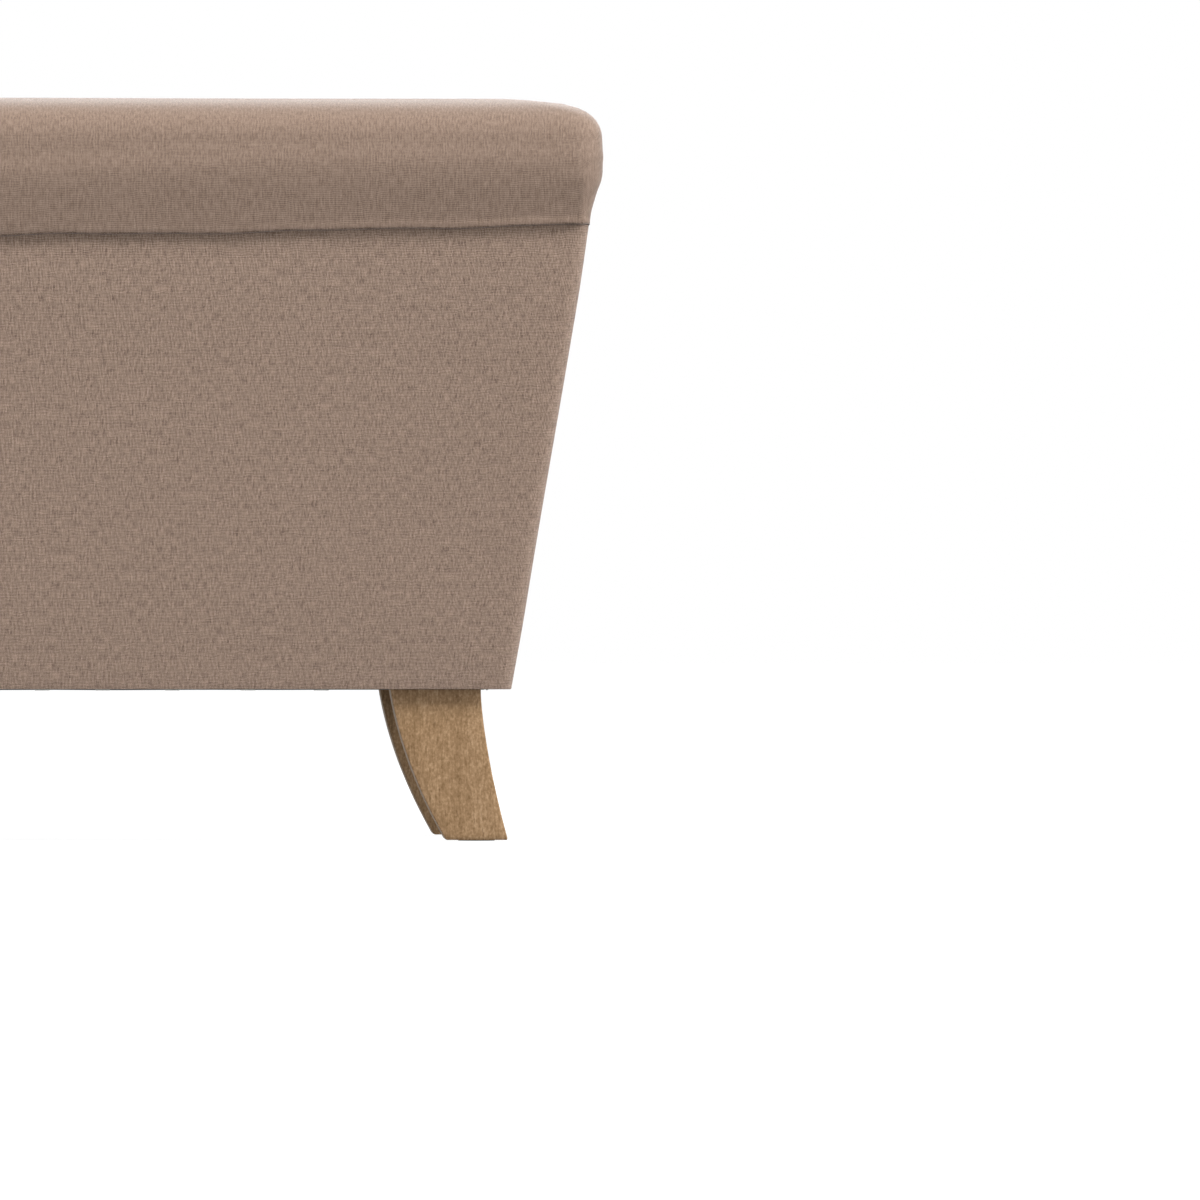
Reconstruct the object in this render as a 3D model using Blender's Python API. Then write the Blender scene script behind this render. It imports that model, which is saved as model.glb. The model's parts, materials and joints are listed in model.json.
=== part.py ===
"""A storage ottoman: a tapered, fabric-covered box on four sabre legs, with a hinged padded lid.

Metres, +Z up. The front faces -Y, and the origin is on the floor under the middle.
"""

import math

import bmesh
import bpy
from mathutils import Vector

# The covered box
BOX_BOTTOM_Z = 0.0990
BOX_TOP_Z = 0.4005
BOX_TOP_HALF = (0.5190, 0.2190)  # half width and half depth at the top
TAPER = 0.1630  # how far each side leans in, per metre down
BOX_CORNER = 0.0080

# Layers of the box's wall, measured level from the outer face inwards
GAP = 0.0003  # clearance kept between neighbouring pieces
PADDED_COVER = 0.0030
FABRIC = 0.0010
PLYWOOD = 0.0152
PANEL_OUT = PADDED_COVER + GAP
PANEL_IN = PANEL_OUT + PLYWOOD
FOLD_OUT = PANEL_IN + GAP
FOLD_IN = FOLD_OUT + FABRIC
LINING_OUT = FOLD_IN + GAP
LINING_IN = LINING_OUT + FABRIC
UNDER_FOLD = 0.025  # width of the cover's fold under the box
INSIDE_FOLD = 0.025  # depth of the cover's fold inside the box
SOFT_EDGE = 0.0007  # how far the cover's outer edges are eased
SHARP_CORNER = 0.0003
CUT_OVERRUN = 0.0100  # how far a cutting tool reaches past what it cuts
LAP = 0.0010  # how far joined shapes run into each other

# The box's inside
BOTTOM_PANEL = 0.0150
FLOOR_BOARD = 0.0030
CORNER_BLOCK = 0.014
CORNER_BLOCK_GAP = 0.001  # between a corner block and the cover's inside fold
LINING_CORNER = 0.022
LINING_TOP_Z = 0.3925

# The dust cover under the box
DUST_COVER = 0.0005
DUST_COVER_INSET = 0.008
DUST_NOTCH_GAP = 0.004

# The lid
LID_BOTTOM_Z = 0.4035
LID_BOARD = 0.0120
LID_CORNER = 0.018
LID_FOLD = 0.0295  # width of the lid cover's fold under its board
LID_COVER = 0.0015
LID_MIN_CORNER = 0.004
BOARD_INSET = 0.0028
FOAM_LOW_BULGE = 0.0022
# Height above the lid's bottom, and how far the side stands out from the box's top edge
LID_PROFILE = (
    (0.0000, -0.0012),
    (0.0030, 0.0005),
    (0.0090, 0.0019),
    (0.0190, 0.0052),
    (0.0255, 0.0078),
    (0.0450, 0.0100),
    (0.0560, 0.0102),
    (0.0670, 0.0060),
    (0.0750, -0.0040),
    (0.0800, -0.0200),
    (0.0825, -0.0600),
)

# Legs and what fastens them
LEG_DEPTH = 0.045
LEG_FRONT_INSET = 0.008
LEG_OUTER_X = 0.4498  # outer edge at the leg's top
LEG_INNER_X = 0.3907  # inner edge at the leg's top
LEG_OUTER_CURVE = 0.58  # times the drop to the power 1.5
LEG_INNER_SLOPE = 0.17
LEG_INNER_CURVE = 2.05  # times the drop squared
LEG_EDGE = 0.0015
LEG_BOLT_X = 0.4205
FOOT_X = 0.4476
GLIDE_RADIUS = 0.0120
GLIDE_HEIGHT = 0.0030
GLIDE_PROUD = 0.0006
BOLT_RADIUS = 0.0040
BOLT_IN_LEG = 0.030
BOLT_HOLE_SPARE = 0.001
BOLT_BELOW_NUT = 0.0005
TEE_NUT_HOLE = 0.0062
TEE_NUT_BARREL = 0.0056
TEE_NUT_BARREL_LIFT = 0.002
TEE_NUT_FLANGE = 0.0110
TEE_NUT_PLATE = 0.0015

# Hinges
HINGE_X = 0.330
HINGE_WIDTH = 0.060
HINGE_LEAF = 0.0010
KNUCKLE_RADIUS = 0.0030
KNUCKLE_GAP = 0.0005
PIN_RADIUS = 0.0014
PIN_PROUD = 0.001
LEAF_EDGE_GAP = 0.0010  # between a leaf's edge and the knuckles
FIXED_LEAF_DEPTH = 0.0160
LID_LEAF_DEPTH = 0.0260
AXIS_Y = BOX_TOP_HALF[1] + 0.0036
AXIS_Z = BOX_TOP_Z + 0.0015

# Gas struts. Both ends are STRUT_REACH from the hinge's axis, so a strut turns half as far as the lid
STRUT_X = 0.438
STRUT_REACH = 0.210
STRUT_LID_ANGLE = math.radians(3.0)
STRUT_WALL_ANGLE = math.radians(70.5)
CYLINDER_RADIUS = 0.0080
CYLINDER_BORE = 0.0068
CYLINDER_START = 0.0090
CYLINDER_LENGTH = 0.2000
ROD_RADIUS = 0.0040
ROD_LENGTH = 0.2200
PISTON_RADIUS = 0.0063
PISTON_LENGTH = 0.0100
EYE_RADIUS = 0.0065
EYE_WIDTH = 0.0100
NECK_RADIUS = 0.0045
NECK_START = 0.004
STUD_RADIUS = 0.0030
STUD_PROUD = 0.003
CYLINDER_BACK = 0.0030  # thickness of the cylinder's closed end
CYLINDER_NOSE = 0.0060  # thickness of its end round the rod

# Strut brackets: a plate screwed down, and an ear that holds the stud
EAR = 0.002
EAR_FROM_EYE = 0.004
WALL_PLATE = 0.002
WALL_PLATE_LIFT = 0.0006
WALL_PLATE_HALF_HEIGHT = 0.018
WALL_PLATE_Y = (-0.034, -0.010)  # from the stud
WALL_EAR_END = 0.007
WALL_EAR_HALF_HEIGHT = 0.0075
WEB = 0.0025
WEB_HALF_HEIGHT = 0.006
LID_PLATE_GAP = 0.0004
LID_PLATE_WIDTH = 0.016
LID_PLATE_HALF_LENGTH = 0.020
LID_EAR_HALF_LENGTH = 0.008
LID_EAR_DROP = 0.007

BUMPER_RADIUS = 0.0050
BUMPER_HEIGHT = 0.0023
BUMPER_INSET = (0.060, 0.010)  # from the box's end and from its side


def material(name, colour, roughness, metallic=0.0):
    made = bpy.data.materials.new(name)
    made.use_nodes = True
    shader = made.node_tree.nodes["Principled BSDF"]
    shader.inputs["Base Color"].default_value = (*colour, 1.0)
    shader.inputs["Roughness"].default_value = roughness
    shader.inputs["Metallic"].default_value = metallic
    return made


def pivot(name, place):
    """An empty on a joint's axis, for the pieces that turn about it."""
    empty = bpy.data.objects.new(name, None)
    empty.location = place
    bpy.context.collection.objects.link(empty)
    return empty


def solid(name, shape, look=None, parent=None, smooth=False):
    """An object from a bmesh made in world coordinates."""
    bmesh.ops.recalc_face_normals(shape, faces=shape.faces)
    if parent:
        bmesh.ops.translate(shape, verts=shape.verts, vec=-parent.location)
    mesh = bpy.data.meshes.new(name)
    shape.to_mesh(mesh)
    shape.free()
    piece = bpy.data.objects.new(name, mesh)
    bpy.context.collection.objects.link(piece)
    piece.parent = parent
    if look:
        mesh.materials.append(material(name, *look))
    if smooth:
        mesh.shade_smooth()
        mesh.set_sharp_from_angle(angle=math.radians(35))
    return piece


def loft(rings, ring_shaped=False):
    """A closed skin through rings of equally many points; its ends are capped, or joined to each other."""
    shape = bmesh.new()
    rows = [[shape.verts.new(point) for point in ring] for ring in rings]
    pairs = list(zip(rows, rows[1:]))
    if ring_shaped:
        pairs.append((rows[-1], rows[0]))
    for low, high in pairs:
        for i in range(len(low)):
            j = (i + 1) % len(low)
            shape.faces.new((low[i], low[j], high[j], high[i]))
    if not ring_shaped:
        shape.faces.new(rows[0])
        shape.faces.new(rows[-1])
    return shape


def rounded_rectangle(half_x, half_y, radius, z, steps=4):
    corners = ((1, 1, 0), (-1, 1, 90), (-1, -1, 180), (1, -1, 270))
    points = []
    for side_x, side_y, start in corners:
        for step in range(steps + 1):
            angle = math.radians(start + 90 * step / steps)
            x = side_x * (half_x - radius) + radius * math.cos(angle)
            y = side_y * (half_y - radius) + radius * math.sin(angle)
            points.append((x, y, z))
    return points


def box_half(z, inset=0.0):
    """Half width and half depth of the tapered box at a height, less an inset."""
    lean = TAPER * (BOX_TOP_Z - z) + inset
    return BOX_TOP_HALF[0] - lean, BOX_TOP_HALF[1] - lean


def box_ring(inset, z, radius):
    return rounded_rectangle(*box_half(z, inset), radius, z)


def lid_ring(height, bulge, inset=0.0):
    radius = LID_CORNER + bulge - inset
    half_x = BOX_TOP_HALF[0] + bulge - inset
    half_y = BOX_TOP_HALF[1] + bulge - inset
    return rounded_rectangle(half_x, half_y, max(radius, LID_MIN_CORNER), LID_BOTTOM_Z + height, steps=5)


def block(low, high):
    """A box between two corners."""
    (x0, y0, z0), (x1, y1, z1) = low, high
    outline = ((x0, y0), (x1, y0), (x1, y1), (x0, y1))
    return loft([[(x, y, z) for x, y in outline] for z in (z0, z1)])


def bar(start, end, radius, sides=16):
    """A round bar between two points."""
    start, end = Vector(start), Vector(end)
    along = (end - start).normalized()
    turn = along.to_track_quat("Z", "Y")
    ring = []
    for i in range(sides):
        angle = 2 * math.pi * i / sides
        ring.append(turn @ Vector((radius * math.cos(angle), radius * math.sin(angle), 0)))
    return loft([[start + p for p in ring], [end + p for p in ring]])


def combine(piece, shape, operation):
    """Adds a shape to a piece, or cuts it away, with an exact Boolean."""
    tool = solid(f"{piece.name}_tool_{len(piece.modifiers)}", shape)
    tool.hide_render = True
    tool.display_type = "WIRE"
    step = piece.modifiers.new(operation.title(), "BOOLEAN")
    step.operation = operation
    step.solver = "EXACT"
    step.object = tool


def cut(piece, *shapes):
    for shape in shapes:
        combine(piece, shape, "DIFFERENCE")


def add(piece, *shapes):
    for shape in shapes:
        combine(piece, shape, "UNION")


WOOD = ((0.62, 0.47, 0.30), 0.55)
RAW_PLYWOOD = ((0.68, 0.52, 0.34), 0.75)
UPHOLSTERY = ((0.28, 0.21, 0.165), 0.9)
LINING = ((0.035, 0.035, 0.038), 0.9)
FOAM = ((0.75, 0.70, 0.55), 0.95)
ZINC = ((0.62, 0.62, 0.60), 0.35, 1.0)
BLACK_STEEL = ((0.03, 0.03, 0.03), 0.35, 0.6)
PLASTIC = ((0.05, 0.05, 0.05), 0.5)

BOTTOM_PANEL_Z = BOX_BOTTOM_Z + FABRIC + GAP
BOTTOM_PANEL_TOP = BOTTOM_PANEL_Z + BOTTOM_PANEL
PANEL_TOP_Z = BOX_TOP_Z - FABRIC - GAP
TEE_NUT_TOP = BOTTOM_PANEL_TOP + GAP + TEE_NUT_PLATE
FLOOR_BOARD_Z = TEE_NUT_TOP + GAP
LINING_FLOOR_Z = FLOOR_BOARD_Z + FLOOR_BOARD + GAP
LEG_TOP_Z = BOX_BOTTOM_Z - GAP
SIDES = (("left", -1), ("right", 1))
ENDS = (("front", -1), ("rear", 1))


def make_panels():
    """Front and rear panels run the full width, and the side panels stand between them."""
    heights = (BOTTOM_PANEL_Z, PANEL_TOP_Z)
    for name, way in ENDS:
        rings = []
        for z in heights:
            half_x, half_y = box_half(z, PANEL_OUT)
            outer, inner = way * half_y, way * (half_y - PLYWOOD)
            rings.append([(-half_x, outer, z), (half_x, outer, z), (half_x, inner, z), (-half_x, inner, z)])
        solid(f"{name}_panel", loft(rings), RAW_PLYWOOD)
    for name, way in SIDES:
        rings = []
        for z in heights:
            half_x, half_y = box_half(z, PANEL_OUT)
            end = half_y - PLYWOOD - GAP
            outer, inner = way * half_x, way * (half_x - PLYWOOD)
            rings.append([(outer, -end, z), (outer, end, z), (inner, end, z), (inner, -end, z)])
        solid(f"{name}_panel", loft(rings), RAW_PLYWOOD)
    for end_name, end in ENDS:
        for side_name, side in SIDES:
            rings = []
            for z in (BOTTOM_PANEL_TOP + GAP, BOX_TOP_Z - INSIDE_FOLD - CORNER_BLOCK_GAP):
                x, y = box_half(z, PANEL_IN + GAP)
                rings.append([
                    (side * x, end * y, z),
                    (side * (x - CORNER_BLOCK), end * y, z),
                    (side * x, end * (y - CORNER_BLOCK), z),
                ])
            solid(f"{end_name}_{side_name}_corner_block", loft(rings), RAW_PLYWOOD)


def leg_places():
    """Name, side and end, and the bolt's and the foot's centres, for each leg."""
    centre_y = box_half(BOX_BOTTOM_Z)[1] - LEG_FRONT_INSET - LEG_DEPTH / 2
    for end_name, end in ENDS:
        for side_name, side in SIDES:
            bolt = (side * LEG_BOLT_X, end * centre_y)
            foot = (side * FOOT_X, end * centre_y)
            yield f"{end_name}_{side_name}", side, end * centre_y, bolt, foot


def make_bottom():
    rings = [box_ring(PANEL_IN + GAP, z, SHARP_CORNER) for z in (BOTTOM_PANEL_Z, BOTTOM_PANEL_TOP)]
    panel = solid("bottom_panel", loft(rings), RAW_PLYWOOD)
    for _, _, _, bolt, _ in leg_places():
        low, high = BOTTOM_PANEL_Z - CUT_OVERRUN, BOTTOM_PANEL_TOP + CUT_OVERRUN
        cut(panel, bar((*bolt, low), (*bolt, high), TEE_NUT_HOLE))
    heights = (FLOOR_BOARD_Z, FLOOR_BOARD_Z + FLOOR_BOARD)
    rings = [box_ring(LINING_OUT + GAP, z, LINING_CORNER) for z in heights]
    solid("storage_floor_board", loft(rings), LINING)


def make_dust_cover():
    """A thin cloth under the box, notched round the legs."""
    x, y = box_half(BOX_BOTTOM_Z, DUST_COVER_INSET)
    notch_x = LEG_INNER_X - DUST_NOTCH_GAP
    notch_y = y + DUST_COVER_INSET - LEG_FRONT_INSET - LEG_DEPTH - DUST_NOTCH_GAP
    quarter = [(x, notch_y), (notch_x, notch_y), (notch_x, y)]
    outline = list(quarter)
    outline += [(-px, py) for px, py in reversed(quarter)]
    outline += [(-px, -py) for px, py in quarter]
    outline += [(px, -py) for px, py in reversed(quarter)]
    high = BOX_BOTTOM_Z - GAP
    rings = [[(px, py, z) for px, py in outline] for z in (high - DUST_COVER, high)]
    solid("dust_cover", loft(rings), LINING)


def make_box_cover():
    """One sewn sleeve: the padded outside, a fold under the box, and a fold over the top edge."""
    low, high = BOX_BOTTOM_Z, BOX_TOP_Z
    rings = [
        box_ring(UNDER_FOLD, low, SHARP_CORNER),
        box_ring(SOFT_EDGE, low, BOX_CORNER),
        box_ring(0.0, low + SOFT_EDGE, BOX_CORNER),
        box_ring(0.0, high - SOFT_EDGE, BOX_CORNER),
        box_ring(SOFT_EDGE, high, BOX_CORNER),
        box_ring(FOLD_IN, high, SHARP_CORNER),
        box_ring(FOLD_IN, high - INSIDE_FOLD, SHARP_CORNER),
        box_ring(FOLD_OUT, high - INSIDE_FOLD, SHARP_CORNER),
        box_ring(FOLD_OUT, high - FABRIC, SHARP_CORNER),
        box_ring(PADDED_COVER, high - FABRIC, SHARP_CORNER),
        box_ring(PADDED_COVER, low + FABRIC, SHARP_CORNER),
        box_ring(UNDER_FOLD, low + FABRIC, SHARP_CORNER),
    ]
    solid("box_cover", loft(rings, ring_shaped=True), UPHOLSTERY, smooth=True)


def make_lining():
    """A tray of cloth: floor, and walls that lap over the cover's inside fold."""
    low, high = LINING_FLOOR_Z, LINING_TOP_Z
    rings = [
        box_ring(LINING_OUT, low, LINING_CORNER),
        box_ring(LINING_OUT, high, LINING_CORNER),
        box_ring(LINING_IN, high, LINING_CORNER),
        box_ring(LINING_IN, low + FABRIC, LINING_CORNER),
    ]
    solid("storage_lining", loft(rings), LINING, smooth=True)


def leg_outline(side, y):
    """The sabre profile: the outer edge is hollow and the inner edge swells, and the foot kicks out."""
    bottom = GLIDE_PROUD
    steps = 9
    outer, inner = [], []
    for i in range(steps + 1):
        drop = (LEG_TOP_Z - bottom) * i / steps
        outer_x = LEG_OUTER_X + LEG_OUTER_CURVE * drop**1.5
        inner_x = LEG_INNER_X + LEG_INNER_SLOPE * drop + LEG_INNER_CURVE * drop**2
        outer.append((side * outer_x, y, LEG_TOP_Z - drop))
        inner.append((side * inner_x, y, LEG_TOP_Z - drop))
    return outer + inner[::-1]


def make_legs():
    for name, side, centre_y, bolt, foot in leg_places():
        outlines = [leg_outline(side, centre_y + offset) for offset in (-LEG_DEPTH / 2, LEG_DEPTH / 2)]
        leg = solid(f"{name}_leg", loft(outlines), WOOD, smooth=True)
        edges = leg.modifiers.new("Eased edges", "BEVEL")
        edges.width = LEG_EDGE
        edges.segments = 2
        edges.limit_method = "ANGLE"
        edges.angle_limit = math.radians(40)
        bolt_low = LEG_TOP_Z - BOLT_IN_LEG
        cut(
            leg,
            bar((*bolt, bolt_low - BOLT_HOLE_SPARE), (*bolt, LEG_TOP_Z + CUT_OVERRUN), BOLT_RADIUS + GAP),
            bar((*foot, -CUT_OVERRUN), (*foot, GLIDE_HEIGHT + GAP), GLIDE_RADIUS + GAP, 24),
        )
        glide = bar((*foot, 0.0), (*foot, GLIDE_HEIGHT), GLIDE_RADIUS, 24)
        solid(f"{name}_glide", glide, PLASTIC, smooth=True)
        bolt_top = TEE_NUT_TOP - BOLT_BELOW_NUT
        shank = bar((*bolt, bolt_low), (*bolt, bolt_top), BOLT_RADIUS)
        solid(f"{name}_hanger_bolt", shank, ZINC, smooth=True)
        barrel = bar((*bolt, BOTTOM_PANEL_Z + TEE_NUT_BARREL_LIFT), (*bolt, bolt_top), TEE_NUT_BARREL)
        nut = solid(f"{name}_tee_nut", barrel, ZINC)
        add(nut, bar((*bolt, BOTTOM_PANEL_TOP + GAP), (*bolt, TEE_NUT_TOP), TEE_NUT_FLANGE))
        cut(nut, bar((*bolt, BOTTOM_PANEL_Z), (*bolt, TEE_NUT_TOP + CUT_OVERRUN), BOLT_RADIUS + GAP))


def make_lid(lid_pivot):
    board_low = LID_BOTTOM_Z + FABRIC + GAP
    board_high = board_low + LID_BOARD
    rings = [lid_ring(z - LID_BOTTOM_Z, 0.0, BOARD_INSET) for z in (board_low, board_high)]
    solid("lid_board", loft(rings), RAW_PLYWOOD, lid_pivot)

    outside = [lid_ring(height, bulge) for height, bulge in LID_PROFILE]
    under = [lid_ring(height, 0.0, LID_FOLD) for height in (0.0, FABRIC)]
    under.append(lid_ring(FABRIC, -FABRIC, LID_COVER))
    inside = [lid_ring(height, bulge, LID_COVER) for height, bulge in LID_PROFILE[1:-1]]
    height, bulge = LID_PROFILE[-1]
    inside.append(lid_ring(height - LID_COVER, bulge, LID_COVER))
    cover = outside[::-1] + under + inside
    solid("lid_cover", loft(cover), UPHOLSTERY, lid_pivot, smooth=True)

    foam_low = board_high + GAP - LID_BOTTOM_Z
    foam = [lid_ring(foam_low, FOAM_LOW_BULGE, LID_COVER + GAP)]
    foam += [lid_ring(h, b, LID_COVER + GAP) for h, b in LID_PROFILE[3:-2]]
    height, bulge = LID_PROFILE[-2]
    foam.append(lid_ring(height - 2 * LID_COVER, bulge, LID_COVER + GAP))
    solid("lid_foam", loft(foam), FOAM, lid_pivot, smooth=True)

    # The lining fills the opening that the cover's fold leaves under the board.
    lining = [lid_ring(height, 0.0, LID_FOLD + GAP) for height in (0.0, FABRIC)]
    solid("lid_lining", loft(lining), LINING, lid_pivot)


def make_hinges(lid_pivot):
    """Butt hinges: the fixed leaf has the two outer knuckles, and the lid's leaf has the middle one."""
    third = HINGE_WIDTH / 3
    edge_y = AXIS_Y - KNUCKLE_RADIUS - LEAF_EDGE_GAP
    lap_y = edge_y - LAP
    weld_y = AXIS_Y - PIN_RADIUS
    fixed_z = (BOX_TOP_Z + GAP, BOX_TOP_Z + GAP + HINGE_LEAF)
    lid_z = (LID_BOTTOM_Z - GAP - HINGE_LEAF, LID_BOTTOM_Z - GAP)
    for name, side in SIDES:
        x = side * HINGE_X
        pin_hole = ((x - HINGE_WIDTH, AXIS_Y, AXIS_Z), (x + HINGE_WIDTH, AXIS_Y, AXIS_Z), PIN_RADIUS + GAP)
        ends = (x - HINGE_WIDTH / 2, x + HINGE_WIDTH / 2)

        plate = block((ends[0], edge_y - FIXED_LEAF_DEPTH, fixed_z[0]), (ends[1], edge_y, fixed_z[1]))
        leaf = solid(f"{name}_hinge_fixed_leaf", plate, ZINC)
        for start in (ends[0], ends[1] - third):
            add(
                leaf,
                block((start, lap_y, fixed_z[0]), (start + third, weld_y, fixed_z[1])),
                bar((start, AXIS_Y, AXIS_Z), (start + third, AXIS_Y, AXIS_Z), KNUCKLE_RADIUS),
            )
        cut(leaf, bar(*pin_hole))

        plate = block((ends[0], edge_y - LID_LEAF_DEPTH, lid_z[0]), (ends[1], edge_y, lid_z[1]))
        leaf = solid(f"{name}_hinge_lid_leaf", plate, ZINC, lid_pivot)
        start, end = ends[0] + third + KNUCKLE_GAP, ends[1] - third - KNUCKLE_GAP
        add(
            leaf,
            block((start, lap_y, lid_z[0]), (end, weld_y, lid_z[1])),
            bar((start, AXIS_Y, AXIS_Z), (end, AXIS_Y, AXIS_Z), KNUCKLE_RADIUS),
        )
        cut(leaf, bar(*pin_hole))

        pin_low, pin_high = ends[0] - PIN_PROUD, ends[1] + PIN_PROUD
        pin = bar((pin_low, AXIS_Y, AXIS_Z), (pin_high, AXIS_Y, AXIS_Z), PIN_RADIUS, 12)
        solid(f"{name}_hinge_pin", pin, ZINC, smooth=True)


def strut_end(x, angle):
    y = AXIS_Y - STRUT_REACH * math.cos(angle)
    return Vector((x, y, AXIS_Z - STRUT_REACH * math.sin(angle)))


def make_struts(lid_pivot):
    """Gas struts between the side walls and the lid, on studs along X."""
    for name, side in SIDES:
        x = side * STRUT_X
        at_lid, at_wall = strut_end(x, STRUT_LID_ANGLE), strut_end(x, STRUT_WALL_ANGLE)
        along = (at_lid - at_wall).normalized()
        across = Vector((1, 0, 0))
        wall_pivot = pivot(f"{name}_wall_pivot", at_wall)
        rod_pivot = pivot(f"{name}_rod_pivot", at_lid)
        half_eye = across * EYE_WIDTH / 2
        half_stud = across * EYE_WIDTH

        tube = bar(at_wall + along * CYLINDER_START, at_wall + along * CYLINDER_LENGTH, CYLINDER_RADIUS, 20)
        cylinder = solid(f"{name}_strut_cylinder", tube, BLACK_STEEL, wall_pivot, smooth=True)
        bore_low, bore_high = CYLINDER_START + CYLINDER_BACK, CYLINDER_LENGTH - CYLINDER_NOSE
        mouth = at_wall + along * (CYLINDER_LENGTH + CUT_OVERRUN)
        add(
            cylinder,
            bar(at_wall - half_eye, at_wall + half_eye, EYE_RADIUS),
            bar(at_wall + along * NECK_START, at_wall + along * (CYLINDER_START + LAP), NECK_RADIUS),
        )
        cut(
            cylinder,
            bar(at_wall + along * bore_low, at_wall + along * bore_high, CYLINDER_BORE, 20),
            bar(at_wall + along * (bore_high - LAP), mouth, ROD_RADIUS + GAP),
            bar(at_wall - half_stud, at_wall + half_stud, STUD_RADIUS + GAP),
        )

        shaft = bar(at_lid - along * NECK_START, at_lid - along * ROD_LENGTH, ROD_RADIUS)
        rod = solid(f"{name}_strut_rod", shaft, ZINC, rod_pivot, smooth=True)
        piston_start = at_lid - along * (ROD_LENGTH - PISTON_LENGTH)
        add(
            rod,
            bar(at_lid - half_eye, at_lid + half_eye, EYE_RADIUS),
            bar(piston_start, piston_start - along * (PISTON_LENGTH + GAP), PISTON_RADIUS),
        )
        cut(rod, bar(at_lid - half_stud, at_lid + half_stud, STUD_RADIUS + GAP))

        tip = across * side * -(EYE_WIDTH / 2 + STUD_PROUD)
        ear = side * (STRUT_X + EYE_WIDTH / 2 + EAR_FROM_EYE)
        ear_low, ear_high = sorted((ear, ear + side * EAR))
        stud_root = ear + side * EAR / 2

        # The wall bracket's plate lies on the lining, in front of its rounded corner.
        wall_x = side * box_half(at_wall.z, LINING_IN + WALL_PLATE_LIFT)[0]
        front_y, back_y = (at_wall.y + offset for offset in WALL_PLATE_Y)
        rings = []
        for rise in (-WALL_PLATE_HALF_HEIGHT, WALL_PLATE_HALF_HEIGHT):
            face, z = wall_x + side * rise * TAPER, at_wall.z + rise
            inner = face - side * WALL_PLATE
            rings.append([(face, front_y, z), (face, back_y, z), (inner, back_y, z), (inner, front_y, z)])
        bracket = solid(f"{name}_wall_bracket", loft(rings), ZINC)
        web_low, web_high = sorted((ear, wall_x - side * LAP))
        add(
            bracket,
            block(
                (web_low, front_y, at_wall.z - WEB_HALF_HEIGHT),
                (web_high, front_y + WEB, at_wall.z + WEB_HALF_HEIGHT),
            ),
            block(
                (ear_low, front_y, at_wall.z - WALL_EAR_HALF_HEIGHT),
                (ear_high, at_wall.y + WALL_EAR_END, at_wall.z + WALL_EAR_HALF_HEIGHT),
            ),
            bar(at_wall + tip, (stud_root, at_wall.y, at_wall.z), STUD_RADIUS),
        )

        plate_z = LID_BOTTOM_Z - LID_PLATE_GAP
        foot_low, foot_high = sorted((ear, ear + side * LID_PLATE_WIDTH))
        plate = block(
            (foot_low, at_lid.y - LID_PLATE_HALF_LENGTH, plate_z - EAR),
            (foot_high, at_lid.y + LID_PLATE_HALF_LENGTH, plate_z),
        )
        bracket = solid(f"{name}_lid_bracket", plate, ZINC, lid_pivot)
        add(
            bracket,
            block(
                (ear_low, at_lid.y - LID_EAR_HALF_LENGTH, at_lid.z - LID_EAR_DROP),
                (ear_high, at_lid.y + LID_EAR_HALF_LENGTH, plate_z - GAP),
            ),
            bar(at_lid + tip, (stud_root, at_lid.y, at_lid.z), STUD_RADIUS),
        )


def make_bumpers():
    for end_name, end in ENDS:
        for side_name, side in SIDES:
            x = side * (BOX_TOP_HALF[0] - BUMPER_INSET[0])
            y = end * (BOX_TOP_HALF[1] - BUMPER_INSET[1])
            z = BOX_TOP_Z + GAP
            stub = bar((x, y, z), (x, y, z + BUMPER_HEIGHT), BUMPER_RADIUS)
            solid(f"{end_name}_{side_name}_bumper", stub, PLASTIC, smooth=True)


def main():
    for old in list(bpy.data.objects):
        bpy.data.objects.remove(old)
    lid_pivot = pivot("lid_pivot", Vector((0, AXIS_Y, AXIS_Z)))
    make_panels()
    make_bottom()
    make_dust_cover()
    make_box_cover()
    make_lining()
    make_legs()
    make_lid(lid_pivot)
    make_hinges(lid_pivot)
    make_struts(lid_pivot)
    make_bumpers()


main()
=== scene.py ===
"""The looks of the storage ottoman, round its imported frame: upholstery, oak legs, lining and fittings."""
import json
import math
import random

import bmesh
import bpy
import numpy as np
from mathutils import Matrix, Vector, noise


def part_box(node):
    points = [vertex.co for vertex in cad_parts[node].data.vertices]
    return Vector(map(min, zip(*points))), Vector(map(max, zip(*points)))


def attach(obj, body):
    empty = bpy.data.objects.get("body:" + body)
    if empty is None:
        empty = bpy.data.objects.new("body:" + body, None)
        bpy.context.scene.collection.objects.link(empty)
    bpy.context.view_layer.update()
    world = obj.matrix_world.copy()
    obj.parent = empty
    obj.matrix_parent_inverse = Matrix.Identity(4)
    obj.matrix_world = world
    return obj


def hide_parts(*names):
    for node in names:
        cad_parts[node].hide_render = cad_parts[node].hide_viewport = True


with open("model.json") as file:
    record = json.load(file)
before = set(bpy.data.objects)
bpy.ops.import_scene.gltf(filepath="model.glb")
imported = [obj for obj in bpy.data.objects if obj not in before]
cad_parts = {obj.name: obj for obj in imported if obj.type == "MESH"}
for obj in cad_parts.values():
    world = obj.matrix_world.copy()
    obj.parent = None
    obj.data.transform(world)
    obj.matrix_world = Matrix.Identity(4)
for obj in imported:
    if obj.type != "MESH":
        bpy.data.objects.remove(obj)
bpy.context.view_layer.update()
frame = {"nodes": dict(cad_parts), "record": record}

random.seed(11)
TINY = 1e-9  # keeps a division from having zero under it
HARD_ANGLE = math.radians(40)

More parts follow.
